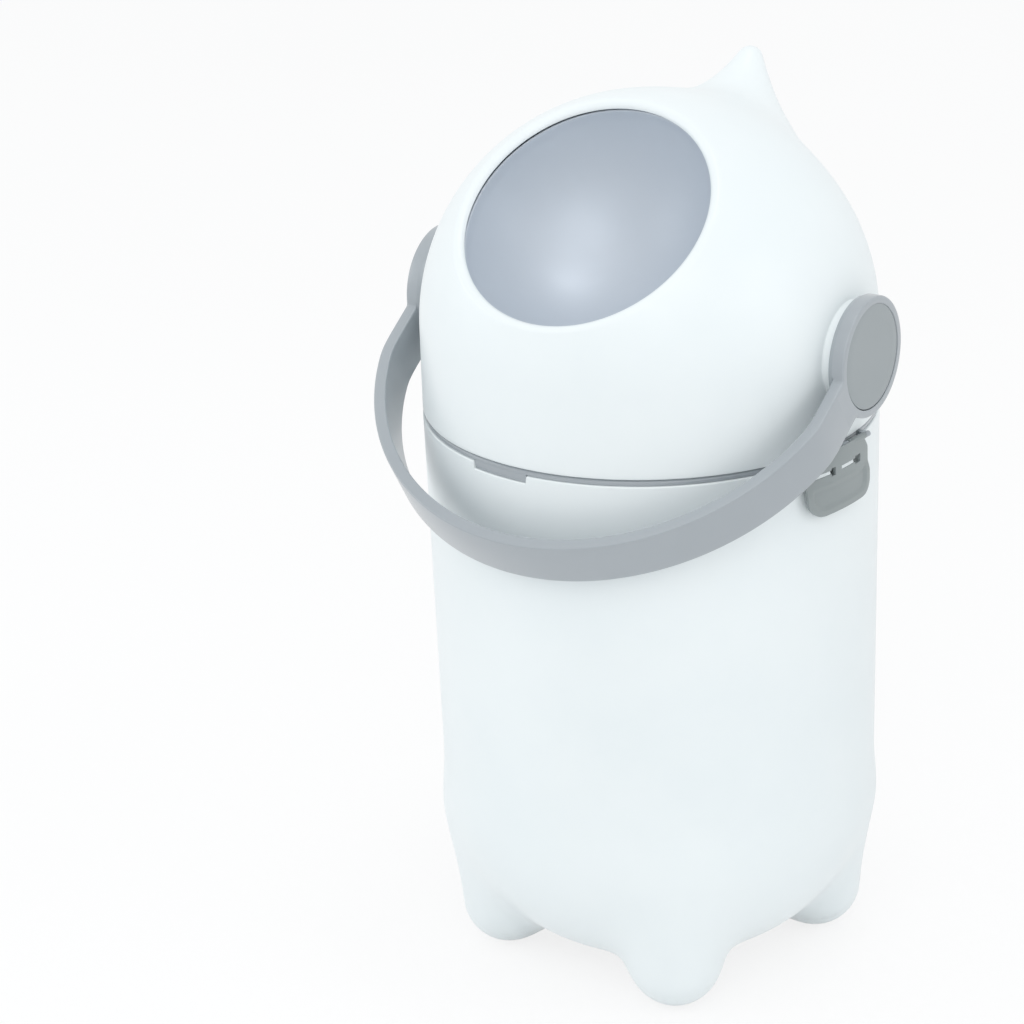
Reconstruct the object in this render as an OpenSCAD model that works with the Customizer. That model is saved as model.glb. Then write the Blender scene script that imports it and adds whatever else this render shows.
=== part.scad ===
// Nappy bin: a tall round bucket on four teat feet, closed by a domed head.
// A grey bowl in the dome's mouth turns over inside the head when the bail handle is
// swung from the front to the back, and tips the nappy into the bag in the bucket.
// The origin is on the floor under the bucket's axis. +Z is up, the mouth looks
// towards -Y, and the handle turns about X.

/* [Bucket] */
// Outer radius of the bucket's rim and of the dome
body_r = 135; // [125:1:145]
// Height of the bucket's rim
rim_z = 348; // [335:1:360]
// Thickness of the bucket's wall
bucket_wall = 2.6; // [2:0.1:3.2]
// Draft of the bucket's side, in mm of radius for each mm of height
draft = 0.018; // [0:0.002:0.03]
// Height of the middle of the bucket's underside
belly_z = 10.7; // [9:0.1:14]
// Radius of the rounded lower edge, seen from above
belly_r = 93; // [80:1:100]
// Height of the rounded lower edge
belly_h = 105; // [90:1:110]

/* [Feet] */
// Distance of each foot from the bucket's axis
foot_ring_r = 95; // [90:1:97]
// Radius of a foot's round end
foot_r = 27.5; // [24:0.5:29]
// Height of the taper that joins a foot to the bucket
foot_rise = 62; // [50:1:70]
// Depth of the flat that a foot stands on
foot_flat = 0.8; // [0.5:0.1:1.5]
// Turn of the bucket and collar against the head
base_yaw = -10; // [-12:1:-8]

/* [Head] */
// Height of the head's lower edge
seam_z = 352; // [351:0.5:354]
// Height of the axis that the handle and the drum turn about
hub_z = 401.5; // [398:0.5:405]
// Thickness of the head's shell
head_wall = 3; // [2.5:0.1:3.5]
// Angle of the mouth's axis above the horizontal
mouth_lift = 51; // [45:1:55]
// Radius of the mouth
mouth_r = 74.7; // [70:0.1:78]
// Width of the mouth's rounded edge
mouth_lip = 3.3; // [2:0.1:4]
// Radius of the round bosses behind the handle's eyes
boss_r = 35.5; // [34:0.5:38]

/* [Horn] */
// Distance of the horn's tip behind the dome's axis
horn_tip_y = 125.2; // [115:0.1:130]
// Height of the centre of the horn's rounded tip
horn_tip_z = 526.9; // [515:0.1:530]
// Radius of the horn's rounded tip
horn_tip_r = 7; // [5:0.1:9]
// Radius of the horn where it grows out of the dome
horn_foot_r = 29; // [26:0.5:31]
// Lean of the horn towards the back, from upright
horn_lean = 26.4; // [20:0.1:30]
// Length from the tip's centre to the foot's centre
horn_len = 47.6; // [44:0.1:50]
// Height of the swelling that the horn grows out of
swell_h = 13; // [8:0.5:15]
// Half the angle that the swelling spans on the dome
swell_span = 34; // [28:1:38]

/* [Drum and bowl] */
// Outer radius of the drum
drum_r = 128; // [126:0.5:129]
// Thickness of the drum's wall
drum_wall = 2.2; // [1.8:0.1:2.6]
// Radius of the bowl's rim
bowl_r = 76; // [75:0.5:78]
// Depth of the bowl
bowl_depth = 62; // [50:1:70]
// Travel of the handle from its front stop to its back stop
turn_deg = 150; // [140:1:152]

/* [Handle] */
// Width of the handle's strap
strap_w = 30.6; // [26:0.2:34]
// Thickness of the strap
strap_t = 7.3; // [6:0.1:8]
// Radius of the strap's round front, outside
strap_r = 151.2; // [150:0.1:153]
// Distance from the turning axis to the centre of the round front
strap_reach = 31.7; // [30:0.1:34]
// Half the width over the strap's straight arms
arm_x = 148; // [147.5:0.5:149]
// Angle of the handle at rest below the horizontal
rest_drop = 31.9; // [28:0.1:33]
// Radius of the eyes at the handle's ends
eye_r = 36; // [34:0.5:37]
// Distance of an eye's outer face from the middle
eye_x = 147; // [146.5:0.1:147.5]
// Thickness of an eye
eye_t = 9.6; // [9:0.1:9.8]
// Radius of the round cap in an eye
cap_r = 31; // [28:0.5:32]

/* [Clips] */
// Angle that a clip spans on the bucket's wall
clip_span = 25; // [24:1:28]
// Length of a clip below its pin
clip_h = 36; // [32:1:40]
// Distance from the clip's inner face to the outside of its grip's lip
grip_out = 4.7; // [4.6:0.1:6]
// Turn of the clips against the feet
clip_yaw = 1.8; // [0:0.1:3]

/* [Hidden] */
$fn = 96;

WHITE = [0.93, 0.95, 0.96];
BOWL_GREY = [0.70, 0.74, 0.79];
GREY = [0.60, 0.64, 0.66];
DARK_SEAL = [0.16, 0.17, 0.18];
STEEL = [0.72, 0.73, 0.74];
NATURAL = [0.88, 0.87, 0.82];

// Shared sizes
eps = 0.01;
big = 400;
seal_gap = 0.3;
run_gap = 0.05;
far_in = 0.4;
arc_steps = 12;

// Bucket
bucket_in_r = body_r - bucket_wall;
belly_top_z = belly_z + belly_h;
belly_side_r = body_r - draft * (rim_z - belly_top_z);
belly_flat_r = belly_side_r - belly_r;
foot_end_z = foot_r - foot_flat;
foot_top_r = foot_r + 5;
notch_w = 40;
notch_h = 4.4;
tab_span = 16.8;
tab_step = 0.1;
floor_pad_r = 12;
catch_z = 338;
catch_h = 4.2;
catch_yaws = [-4.6, 4.6];
catch_span = 5.2;
catch_out = 4.6;

// Collar and its seal on the bag
collar_top_z = seam_z - 0.5;
collar_low_z = rim_z + 0.1;
collar_out_r = body_r - 1;
skirt_out_r = bucket_in_r - 1.3;
skirt_wall = 2;
skirt_z = rim_z - 14;
spigot_out_r = 126;
spigot_wall = 2;
spigot_top_z = 360;
lug_span = 9;
lug_yaws = [0, 90, 180, 270];
ledge_z = 357.2;
ledge_out_r = 128.6;

// Clips
pin_r = 1.1;
knuckle_r = 1.75;
pin_x = body_r + 1.8;
pin_z = seam_z - 2.1;
pin_half = 30;
clip_in_r = body_r + 2.2;
clip_wall = 2.2;
clip_low_z = pin_z - clip_h;
grip_top_z = 331;
knuckle_from = 10.3;
knuckle_to = 25.7;
window_low_z = 334.6;
window_high_z = 341.4;
window_span = 6.8;
shoulder_w = 8;
shoulder_h = 9;

// Head
lock_in_r = 129;
lock_out_r = body_r - head_wall - 0.05;
lock_low_z = seam_z + 0.2;
lug_top_z = 356.8;
ear_yaws = [45, 135, 225, 315];
ear_r = 129.3;
ear_w = 9;
screw_r = 1.5;
screw_head_r = 2.6;
dome_in_r = body_r - head_wall;
stop_ring_r = 64;
stop_w = 8;
stop_deg = 6;
rib_from_deg = 16;
stop_slack_deg = 0.3;

// Horn, in the plane x = 0, measured from the hub axis
horn_foot_y = horn_tip_y - horn_len * sin(horn_lean);
horn_foot_z = horn_tip_z - horn_len * cos(horn_lean);
swell_lean = atan2(horn_foot_y, horn_foot_z - hub_z);
horn_flank = asin((horn_foot_r - horn_tip_r) / horn_len);

// Drum and bowl, along the mouth's axis from the hub axis
bowl_rim_s = sqrt(drum_r * drum_r - bowl_r * bowl_r);
dish_r = (bowl_r * bowl_r + bowl_depth * bowl_depth) / (2 * bowl_depth);
dish_s = bowl_rim_s - bowl_depth + dish_r;
split_s = 24;
split_gap = 0.1;
drum_in_r = drum_r - drum_wall;
post_ring_r = 120.3;
post_r = 5;
post_len = 12;
post_turns = [45, 135, 225, 315];

// Hubs, along X
drum_flat_x = 127;
trunnion_r = 11;
flange_r = 24;
flange_x = 117;
flange_t = 4;
flange_screw_ring_r = 17;
bush_out_r = 14;
bush_flange_r = 18;
bush_in_x = 128.2;
boss_x = 136.4;
boss_in_x = 129.6;
eye_in_x = eye_x - eye_t;
square_w = 14;
square_x = 141.4;
pocket_x = 142.6;
pocket_r = 6;
cap_t = 3;
hub_screw_r = 2.5;
hub_screw_head_r = 4.6;
washer_gap = 0.1;

// The radius of a circle's chord point: how far a circle of radius r reaches at height h
function reach(r, h) = sqrt(r * r - h * h);

// Moves a shape into the frame of the bucket and collar
module in_base() {
    rotate([0, 0, base_yaw]) children();
}

// Moves a shape drawn about the hub axis' middle to its height
module at_hub() {
    translate([0, 0, hub_z]) children();
}

// Turns a shape drawn about +Z so that it lies about the mouth's axis
module on_mouth_axis() {
    at_hub() rotate([90 - mouth_lift, 0, 0]) children();
}

// Turns a shape drawn about +Z so that it lies about +X through the hub axis
module on_hub_axis() {
    at_hub() rotate([0, 90, 0]) children();
}

// A shape on the right, or its mirror image on the left
module on_side(right) {
    mirror([right ? 0 : 1, 0, 0]) children();
}

// A piece of a ring, its middle at angle yaw from +X, cut from a profile in r and z
module ring_piece(yaw, span) {
    rotate([0, 0, yaw - span / 2]) rotate_extrude(angle = span) children();
}

// A rectangle in r and z
module band(r1, r2, z1, z2) {
    translate([r1, z1]) square([r2 - r1, z2 - z1]);
}

// ---- Bucket ----

// Outline of the bucket's outside, or of its inside when shrunk by inset
function bucket_side(inset) = [
    [0, rim_z + (inset > 0 ? 1 : 0)],
    [body_r - inset, rim_z + (inset > 0 ? 1 : 0)],
    for (i = [0:arc_steps])
        let (a = 90 * i / arc_steps)
        [belly_flat_r + (belly_r - inset) * cos(a), belly_top_z - (belly_h - inset) * sin(a)],
    [0, belly_z + inset]
];

// One foot about its own axis: a round end on a taper that widens upwards
module foot(inset) {
    difference() {
        union() {
            translate([0, 0, foot_end_z]) sphere(r = foot_r - inset);
            translate([0, 0, foot_end_z])
                cylinder(r1 = foot_r - inset, r2 = foot_top_r - inset, h = foot_rise);
        }
        translate([0, 0, inset - foot_r]) cube(2 * foot_r, center = true);
    }
}

// All four feet, kept inside the bucket's own side
module feet(inset) {
    intersection() {
        for (yaw = [45, 135, 225, 315])
            rotate([0, 0, yaw]) translate([foot_ring_r, 0, 0]) foot(inset);
        cylinder(r = belly_side_r - inset - eps, h = belly_top_z);
    }
}

module bin_bucket() {
    color(WHITE) in_base() difference() {
        union() {
            rotate_extrude() polygon(bucket_side(0));
            feet(0);
            cylinder(r = floor_pad_r, h = belly_z + 1);
            for (side = [0, 180], yaw = catch_yaws)
                ring_piece(side + clip_yaw + yaw, catch_span)
                    polygon([
                        [body_r - 1, catch_z - catch_h / 2],
                        [body_r + catch_out, catch_z - catch_h / 2],
                        [body_r + catch_out, catch_z - catch_h / 6],
                        [body_r - 1, catch_z + catch_h]
                    ]);
        }
        rotate_extrude() polygon(bucket_side(bucket_wall));
        feet(bucket_wall);
        translate([-notch_w / 2, -body_r - 1, rim_z - notch_h])
            cube([notch_w, 10, notch_h + 1]);
    }
}

// ---- Collar that clamps the bag and carries the head ----

module collar_ring() {
    color(GREY) in_base() difference() {
        union() {
            rotate_extrude() polygon([
                [skirt_out_r - skirt_wall, collar_top_z - 1],
                [skirt_out_r - skirt_wall, skirt_z],
                [skirt_out_r - skirt_wall / 2, skirt_z],
                [skirt_out_r, skirt_z + 2],
                [skirt_out_r, collar_low_z],
                [collar_out_r, collar_low_z],
                [collar_out_r, collar_top_z - 0.8],
                [collar_out_r - 0.8, collar_top_z],
                [skirt_out_r - skirt_wall, collar_top_z]
            ]);
            rotate_extrude() band(spigot_out_r - spigot_wall, skirt_out_r - skirt_wall + eps,
                collar_low_z, collar_top_z);
            rotate_extrude() band(spigot_out_r - spigot_wall, spigot_out_r,
                collar_low_z, spigot_top_z);
            ring_piece(-90, tab_span)
                band(skirt_out_r - 1, collar_out_r - tab_step, rim_z - notch_h + 0.3,
                    collar_low_z + 1);
            for (yaw = lug_yaws)
                ring_piece(yaw - base_yaw, lug_span)
                    band(spigot_out_r - eps, ledge_out_r, ledge_z, spigot_top_z);
            for (right = [true, false]) at_clip(right) collar_lugs();
        }
        for (right = [true, false]) at_clip(right) on_pin()
            cylinder(r = pin_r, h = 2 * pin_half + 2, center = true);
    }
}

// Moves a shape drawn for a clip on +X to the right or the left clip
module at_clip(right) {
    rotate([0, 0, clip_yaw + (right ? 0 : 180)]) children();
}

// Turns a shape drawn about +Z so that it lies about a clip's pin
module on_pin() {
    translate([pin_x, 0, pin_z]) rotate([90, 0, 0]) children();
}

// Three lugs on the collar that hold a clip's pin
module collar_lugs() {
    for (span = [[-pin_half, -knuckle_to - 0.4], [-knuckle_from + 0.4, knuckle_from - 0.4],
            [knuckle_to + 0.4, pin_half]]) {
        translate([pin_x, span[1], pin_z]) rotate([90, 0, 0])
            cylinder(r = knuckle_r, h = span[1] - span[0]);
        translate([reach(collar_out_r - 2, pin_half), span[0], collar_low_z + 0.2])
            cube([pin_x - reach(collar_out_r - 2, pin_half), span[1] - span[0],
                collar_top_z - collar_low_z - 0.4]);
    }
}

module bag_seal() {
    color(DARK_SEAL) in_base() rotate_extrude()
        band(skirt_out_r, bucket_in_r - 0.2 - seal_gap, 338.5, 342.5);
}

module clip_pin(right) {
    color(STEEL) in_base() at_clip(right) on_pin()
        cylinder(r = pin_r, h = 2 * pin_half, center = true);
}

// One clip: knuckles on the pin, a thin plate with two windows and a scooped grip
module clip(right) {
    color(GREY) in_base() at_clip(right) difference() {
        union() {
            intersection() {
                clip_plate();
                clip_outline();
            }
            for (y = [-knuckle_to, knuckle_from])
                translate([pin_x, y + knuckle_to - knuckle_from, pin_z]) rotate([90, 0, 0])
                    cylinder(r = knuckle_r, h = knuckle_to - knuckle_from);
        }
        for (yaw = catch_yaws)
            ring_piece(yaw, window_span)
                band(body_r, body_r + 3 * clip_wall, window_low_z, window_high_z);
        translate([body_r - 4, -knuckle_from, pin_z - 2.6]) cube([12, 2 * knuckle_from, 8]);
        on_pin() cylinder(r = pin_r + run_gap, h = 2 * pin_half, center = true);
    }
}

// The clip's section, swept round the bucket. The plate stops below the windows, and
// the grip below it stands clear of the catches when the collar is lifted
module clip_plate() {
    grip_in_r = clip_in_r + 2.8;
    lip_r = clip_in_r + grip_out;
    panel_r = lip_r - 0.5;
    ring_piece(0, clip_span + 2) polygon([
        [clip_in_r, pin_z + 0.6],
        [clip_in_r, grip_top_z],
        [grip_in_r, grip_top_z - 1.5],
        [grip_in_r, clip_low_z],
        [lip_r - 0.6, clip_low_z],
        [lip_r, clip_low_z + 0.6],
        [lip_r, clip_low_z + 2.4],
        [panel_r, clip_low_z + 3.2],
        [panel_r, grip_top_z - 1],
        [clip_in_r + clip_wall, grip_top_z + 2.5],
        [clip_in_r + clip_wall, pin_z + 0.6]
    ]);
}

// The clip seen from outside: a plate with cut upper corners and rounded lower ones
module clip_outline() {
    half = clip_in_r * sin(clip_span / 2);
    corner = 9;
    corner_z = clip_low_z + corner - 0.6;
    top = pin_z + 2;
    translate([body_r / 2, 0, 0]) rotate([90, 0, 90]) linear_extrude(body_r) union() {
        polygon([
            [-half, corner_z],
            [half, corner_z],
            [half, top - shoulder_h],
            [half - shoulder_w, top],
            [shoulder_w - half, top],
            [-half, top - shoulder_h]
        ]);
        translate([corner - half, clip_low_z - 1]) square([2 * (half - corner), clip_h]);
        for (y = [corner - half, half - corner])
            translate([y, corner_z]) circle(r = corner);
    }
}

// ---- Head ----

// A cone with rounded ends, from the horn's foot to its tip
module horn() {
    translate([0, horn_tip_y, horn_tip_z]) rotate([-horn_lean, 0, 0]) {
        sphere(r = horn_tip_r);
        translate([0, 0, -horn_len]) sphere(r = horn_foot_r);
        translate([0, 0, horn_foot_r * sin(horn_flank) - horn_len])
            cylinder(r1 = horn_foot_r * cos(horn_flank), r2 = horn_tip_r * cos(horn_flank),
                h = horn_len - (horn_foot_r - horn_tip_r) * sin(horn_flank));
    }
}

// A low round swelling on the dome, highest under the horn
module swelling() {
    steps = 16;
    at_hub() rotate([-swell_lean, 0, 0]) rotate_extrude() polygon([
        [0, dome_in_r],
        for (i = [0:steps])
            let (a = swell_span * i / steps,
                r = body_r + swell_h * (1 + cos(180 * i / steps)) / 2 - (i == steps ? 0.5 : 0))
            [r * sin(a), r * cos(a)],
        [dome_in_r * sin(swell_span), dome_in_r * cos(swell_span)]
    ]);
}

// The dome and its skirt as a solid of the given radius
module dome(r) {
    at_hub() sphere(r = r);
    translate([0, 0, seam_z]) cylinder(r = r, h = hub_z - seam_z);
}

// A block in the gap between shell and drum, from angle a over width w about the hub axis
module stop_block(a, w, r1, r2) {
    at_hub() difference() {
        intersection() {
            sphere(r = r2);
            rotate([-a - w, 0, 0]) rotate([0, 90, 0]) rotate([0, 0, -90])
                rotate_extrude(angle = w) band(stop_ring_r - stop_w / 2,
                    stop_ring_r + stop_w / 2, 90, body_r);
        }
        sphere(r = r1);
    }
}

module head_shell() {
    color(WHITE) difference() {
        union() {
            difference() {
                union() {
                    dome(body_r);
                    swelling();
                    horn();
                }
                dome(dome_in_r);
                translate([0, 0, seam_z - big]) cylinder(r = big, h = big);
            }
            for (right = [true, false]) on_side(right) {
                on_hub_axis() translate([0, 0, boss_in_x])
                    cylinder(r = boss_r, h = boss_x - boss_in_x);
                stop_block(rib_from_deg - stop_deg - stop_slack_deg, stop_deg,
                    drum_r + 1, dome_in_r + 1);
                stop_block(rib_from_deg + turn_deg + stop_deg + stop_slack_deg, stop_deg,
                    drum_r + 1, dome_in_r + 1);
            }
            for (yaw = ear_yaws)
                rotate([0, 0, yaw]) difference() {
                    translate([ear_r - 2.8, -ear_w / 2, lug_top_z])
                        cube([dome_in_r - ear_r + 3.3, ear_w, 10]);
                    translate([ear_r, 0, lug_top_z - 1])
                        cylinder(r = screw_r + run_gap, h = 9);
                }
        }
        on_mouth_axis() cylinder(r = mouth_r, h = big);
        on_mouth_axis() translate([0, 0, reach(body_r, mouth_r + mouth_lip)])
            difference() {
                cylinder(r = mouth_r + mouth_lip + 4, h = 2 * mouth_lip);
                translate([0, 0, -mouth_lip]) rotate_extrude()
                    translate([mouth_r + mouth_lip, 0]) circle(r = mouth_lip);
                difference() {
                    cylinder(r = mouth_r + mouth_lip + 5, h = mouth_lip * 4, center = true);
                    cylinder(r = mouth_r + mouth_lip, h = mouth_lip * 5, center = true);
                }
            }
        for (right = [true, false]) on_side(right) on_hub_axis()
            translate([0, 0, boss_in_x - 5]) cylinder(r = bush_out_r, h = 20);
    }
}

module lock_ring() {
    color(GREY) difference() {
        union() {
            rotate_extrude() band(lock_in_r, lock_out_r, lock_low_z, lock_low_z + 3.2);
            rotate_extrude() band(lock_in_r + 1, lock_out_r, lock_low_z, lug_top_z);
            for (yaw = lug_yaws)
                ring_piece(yaw, lug_span)
                    band(spigot_out_r + far_in, lock_in_r + 2, lock_low_z, lug_top_z);
            for (yaw = ear_yaws)
                rotate([0, 0, yaw]) translate([ear_r - 2.8, -ear_w / 2, lock_low_z])
                    cube([4, ear_w, lug_top_z - lock_low_z]);
        }
        for (yaw = ear_yaws)
            rotate([0, 0, yaw]) translate([ear_r, 0, lock_low_z - 1]) {
                cylinder(r = screw_r + run_gap, h = 10);
                cylinder(r = screw_head_r + run_gap, h = 3);
            }
    }
}

module lock_screws() {
    color(STEEL) for (yaw = ear_yaws)
        rotate([0, 0, yaw]) translate([ear_r, 0, lock_low_z]) {
            translate([0, 0, 0.2]) cylinder(r = screw_head_r, h = 1.8);
            translate([0, 0, 1]) cylinder(r = screw_r, h = 10);
        }
}

module mouth_seal() {
    color(DARK_SEAL) difference() {
        on_mouth_axis() intersection() {
            sphere(r = dome_in_r);
            difference() {
                cylinder(r = mouth_r + 9.5, h = big);
                translate([0, 0, -1]) cylinder(r = mouth_r + 4.5, h = big);
            }
        }
        at_hub() sphere(r = drum_r + seal_gap);
    }
}

module drum_seal() {
    color(DARK_SEAL) difference() {
        rotate_extrude() band(drum_r - 9, spigot_out_r - spigot_wall, spigot_top_z - 4,
            spigot_top_z - 1.5);
        at_hub() sphere(r = drum_r + seal_gap);
    }
}

module hub_bush(right) {
    color(NATURAL) on_side(right) on_hub_axis() difference() {
        union() {
            translate([0, 0, bush_in_x]) cylinder(r = bush_flange_r, h = boss_in_x - bush_in_x);
            translate([0, 0, bush_in_x]) cylinder(r = bush_out_r, h = boss_x - bush_in_x - 0.2);
        }
        translate([0, 0, bush_in_x - 1]) cylinder(r = trunnion_r + run_gap, h = 20);
    }
}

// ---- Drum with the bowl ----

module bowl() {
    color(BOWL_GREY) {
        on_mouth_axis() difference() {
            intersection() {
                sphere(r = drum_r);
                translate([0, 0, split_s]) cylinder(r = drum_r, h = drum_r);
            }
            translate([0, 0, dish_s]) sphere(r = dish_r);
            difference() {
                sphere(r = drum_in_r);
                translate([0, 0, dish_s]) sphere(r = dish_r + drum_wall);
                at_posts() cylinder(r = post_r, h = split_s + post_len);
            }
            at_posts() translate([0, 0, split_s - 1]) cylinder(r = screw_r, h = post_len - 2);
        }
        for (right = [true, false]) on_side(right)
            stop_block(rib_from_deg, stop_deg, drum_r - 1, drum_r + 2.6);
    }
}

// The places of the posts that the drum's screws hold together
module at_posts() {
    for (turn = post_turns) rotate([0, 0, turn]) translate([post_ring_r, 0, 0]) children();
}

// Half of the drum's section: a thin round wall with a thick pad at each end of the axis
module drum_section() {
    difference() {
        intersection() {
            circle(r = drum_r);
            band(trunnion_r, drum_r, -drum_flat_x, drum_flat_x);
        }
        difference() {
            circle(r = drum_in_r);
            for (side = [0, 1]) mirror([0, side])
                band(0, flange_r - 1.5, flange_x + flange_t, drum_r);
        }
    }
}

module drum_shell() {
    color(GREY) difference() {
        union() {
            difference() {
                on_hub_axis() rotate_extrude() drum_section();
                on_mouth_axis() translate([-big, -big, split_s - split_gap])
                    cube([2 * big, 2 * big, big]);
            }
            on_mouth_axis() at_posts() translate([0, 0, split_s - post_len])
                cylinder(r = post_r, h = post_len - 2 * split_gap);
        }
        on_mouth_axis() at_posts() translate([0, 0, split_s - post_len - 1]) {
            cylinder(r = screw_r + 0.2, h = post_len + 2);
            cylinder(r = screw_head_r + 0.3, h = 4);
        }
        for (right = [true, false]) on_side(right)
            flange_screw_places() translate([0, 0, flange_x]) cylinder(r = screw_r, h = 8.5);
    }
}

module flange_screw_places() {
    on_hub_axis() for (turn = [0, 120, 240])
        rotate([0, 0, turn]) translate([flange_screw_ring_r, 0, 0]) children();
}

module drum_screws() {
    color(STEEL) on_mouth_axis() at_posts() translate([0, 0, split_s - post_len + 1]) {
        cylinder(r = screw_head_r, h = 2);
        cylinder(r = screw_r, h = post_len + 5);
    }
}

// ---- Hubs ----

module trunnion(right) {
    color(NATURAL) on_side(right) difference() {
        on_hub_axis() {
            translate([0, 0, flange_x]) cylinder(r = flange_r - 2, h = flange_t);
            translate([0, 0, flange_x]) cylinder(r = trunnion_r, h = eye_in_x - flange_x - 0.3);
            translate([0, 0, (eye_in_x + square_x) / 2 - 1])
                cube([square_w, square_w, square_x - eye_in_x + 2], center = true);
        }
        on_hub_axis() translate([0, 0, eye_in_x - 12]) cylinder(r = hub_screw_r, h = 30);
        flange_screw_places() translate([0, 0, flange_x - 1])
            cylinder(r = screw_r + 0.2, h = flange_t + 2);
    }
}

module trunnion_screws() {
    color(STEEL) for (right = [true, false]) on_side(right)
        flange_screw_places() {
            translate([0, 0, flange_x - 2]) cylinder(r = screw_head_r, h = 2);
            translate([0, 0, flange_x - 1]) cylinder(r = screw_r, h = 8.5);
        }
}

module thrust_washer(right) {
    color(NATURAL) on_side(right) on_hub_axis() difference() {
        translate([0, 0, boss_x + washer_gap])
            cylinder(r = 20, h = eye_in_x - boss_x - washer_gap);
        translate([0, 0, boss_x - 1]) cylinder(r = trunnion_r + 0.3, h = 5);
    }
}

// ---- Handle ----

// Turns a shape drawn with +Y forwards from the hub axis into the handle's rest position
module in_handle() {
    at_hub() rotate([rest_drop, 0, 0]) mirror([0, 1, 0]) children();
}

module handle_bail() {
    color(GREY) difference() {
        union() {
            in_handle() intersection() {
                difference() {
                    strap_block(strap_r, arm_x);
                    strap_block(strap_r - strap_t, arm_x - strap_t);
                }
                translate([-big / 2, eye_r - 8, -strap_w / 2]) cube([big, big, strap_w]);
            }
            for (right = [true, false]) on_side(right) on_hub_axis()
                translate([0, 0, eye_in_x]) cylinder(r = eye_r, h = eye_t);
        }
        for (right = [true, false]) on_side(right) on_hub_axis() {
            translate([0, 0, eye_in_x + (square_x - eye_in_x) / 2 - 1])
                cube([square_w, square_w, square_x - eye_in_x + 2], center = true);
            translate([0, 0, eye_in_x]) cylinder(r = hub_screw_r + 0.1, h = 10);
            translate([0, 0, pocket_x]) cylinder(r = pocket_r, h = 10);
            translate([0, 0, eye_x - cap_t]) cylinder(r = cap_r + 0.15, h = 10);
        }
    }
}

// The space inside the strap's outline: a round front between two straight arms
module strap_block(r, half_x) {
    intersection() {
        translate([0, strap_reach, 0]) cylinder(r = r, h = 2 * strap_w, center = true);
        cube([2 * half_x, 2 * big, 3 * strap_w], center = true);
    }
}

module hub_screws() {
    color(STEEL) for (right = [true, false]) on_side(right) on_hub_axis() {
        translate([0, 0, pocket_x]) cylinder(r = hub_screw_head_r, h = 2.2);
        translate([0, 0, eye_in_x - 11]) cylinder(r = hub_screw_r, h = pocket_x - eye_in_x + 12);
    }
}

module hub_cap(right) {
    color(GREY) on_side(right) on_hub_axis() difference() {
        translate([0, 0, eye_x - cap_t]) cylinder(r = cap_r, h = cap_t);
        translate([0, 0, eye_x - cap_t - 1]) cylinder(r = 7, h = 2.2);
    }
}

bin_bucket();
collar_ring();
bag_seal();
clip(true);  // clip_right
clip(false);  // clip_left
clip_pin(true);  // clip_pin_right
clip_pin(false);  // clip_pin_left
head_shell();
lock_ring();
lock_screws();
mouth_seal();
drum_seal();
hub_bush(true);  // hub_bush_right
hub_bush(false);  // hub_bush_left
bowl();
drum_shell();
drum_screws();
trunnion(true);  // trunnion_right
trunnion(false);  // trunnion_left
trunnion_screws();
thrust_washer(true);  // thrust_washer_right
thrust_washer(false);  // thrust_washer_left
handle_bail();
hub_screws();
hub_cap(true);  // hub_cap_right
hub_cap(false);  // hub_cap_left
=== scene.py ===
"""A nappy bin dressed around its CAD frame: a white bucket on four teat feet, a domed head
with a horn, a grey bowl in its mouth, a bail handle and two side clips.

Lengths are in millimetres until a mesh is made. +Z is up, the mouth looks towards -Y and
the handle turns about X.
"""

import math

import bmesh
import bpy
import numpy as np
from mathutils import Matrix, Vector


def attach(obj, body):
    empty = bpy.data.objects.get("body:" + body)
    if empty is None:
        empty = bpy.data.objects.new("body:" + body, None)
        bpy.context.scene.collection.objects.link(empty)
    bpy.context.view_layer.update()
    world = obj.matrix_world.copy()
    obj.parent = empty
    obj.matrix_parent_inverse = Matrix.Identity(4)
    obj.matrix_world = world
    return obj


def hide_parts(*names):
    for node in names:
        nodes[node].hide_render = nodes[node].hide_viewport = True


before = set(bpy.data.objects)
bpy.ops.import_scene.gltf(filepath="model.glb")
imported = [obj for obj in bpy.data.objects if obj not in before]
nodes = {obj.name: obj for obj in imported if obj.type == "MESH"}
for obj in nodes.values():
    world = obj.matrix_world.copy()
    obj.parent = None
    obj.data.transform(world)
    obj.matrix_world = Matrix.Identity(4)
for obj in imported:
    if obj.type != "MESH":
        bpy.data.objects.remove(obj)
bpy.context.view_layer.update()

MM = 0.001

# Bucket
RIM_Z = 348.0
BODY_R = 135.0
WALL = 2.6
DRAFT = 0.018
BELLY_Z = 10.7
BELLY_R = 93.0
BELLY_H = 105.0
BELLY_TOP = BELLY_Z + BELLY_H
BELLY_SCALE = 96
RIM_ROUND = 0.8
NOTCH_DEEP = 4.4
PAD_R = 12.0
FOOT_OUT = 95.2
FOOT_LOW_Z = 27.2
FOOT_LOW_R = 27.6
FOOT_TOP_Z = 88.0
FOOT_TOP_R = 32.0
FOOT_BLEND = 30.0
BELLY_FLAT_R = BODY_R - DRAFT * (RIM_Z - BELLY_TOP) - BELLY_R
BASE_YAW = -10.0
NOTCH_YAW = -90.0
QUARTERS = (45, 135, 225, 315)

# Clips and their hinges
CLIP_YAW = BASE_YAW + 1.8
CLIP_LOW = 313.9
CLIP_HALF = 30.2
CATCH_Z = 337.1
GRIP_OUT = 1.4
DISH_DEEP = 1.5
PLATE_R = 139.4
PIN_X = 136.8
PIN_Z = 349.9
PIN_BORE = 1.12

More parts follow.
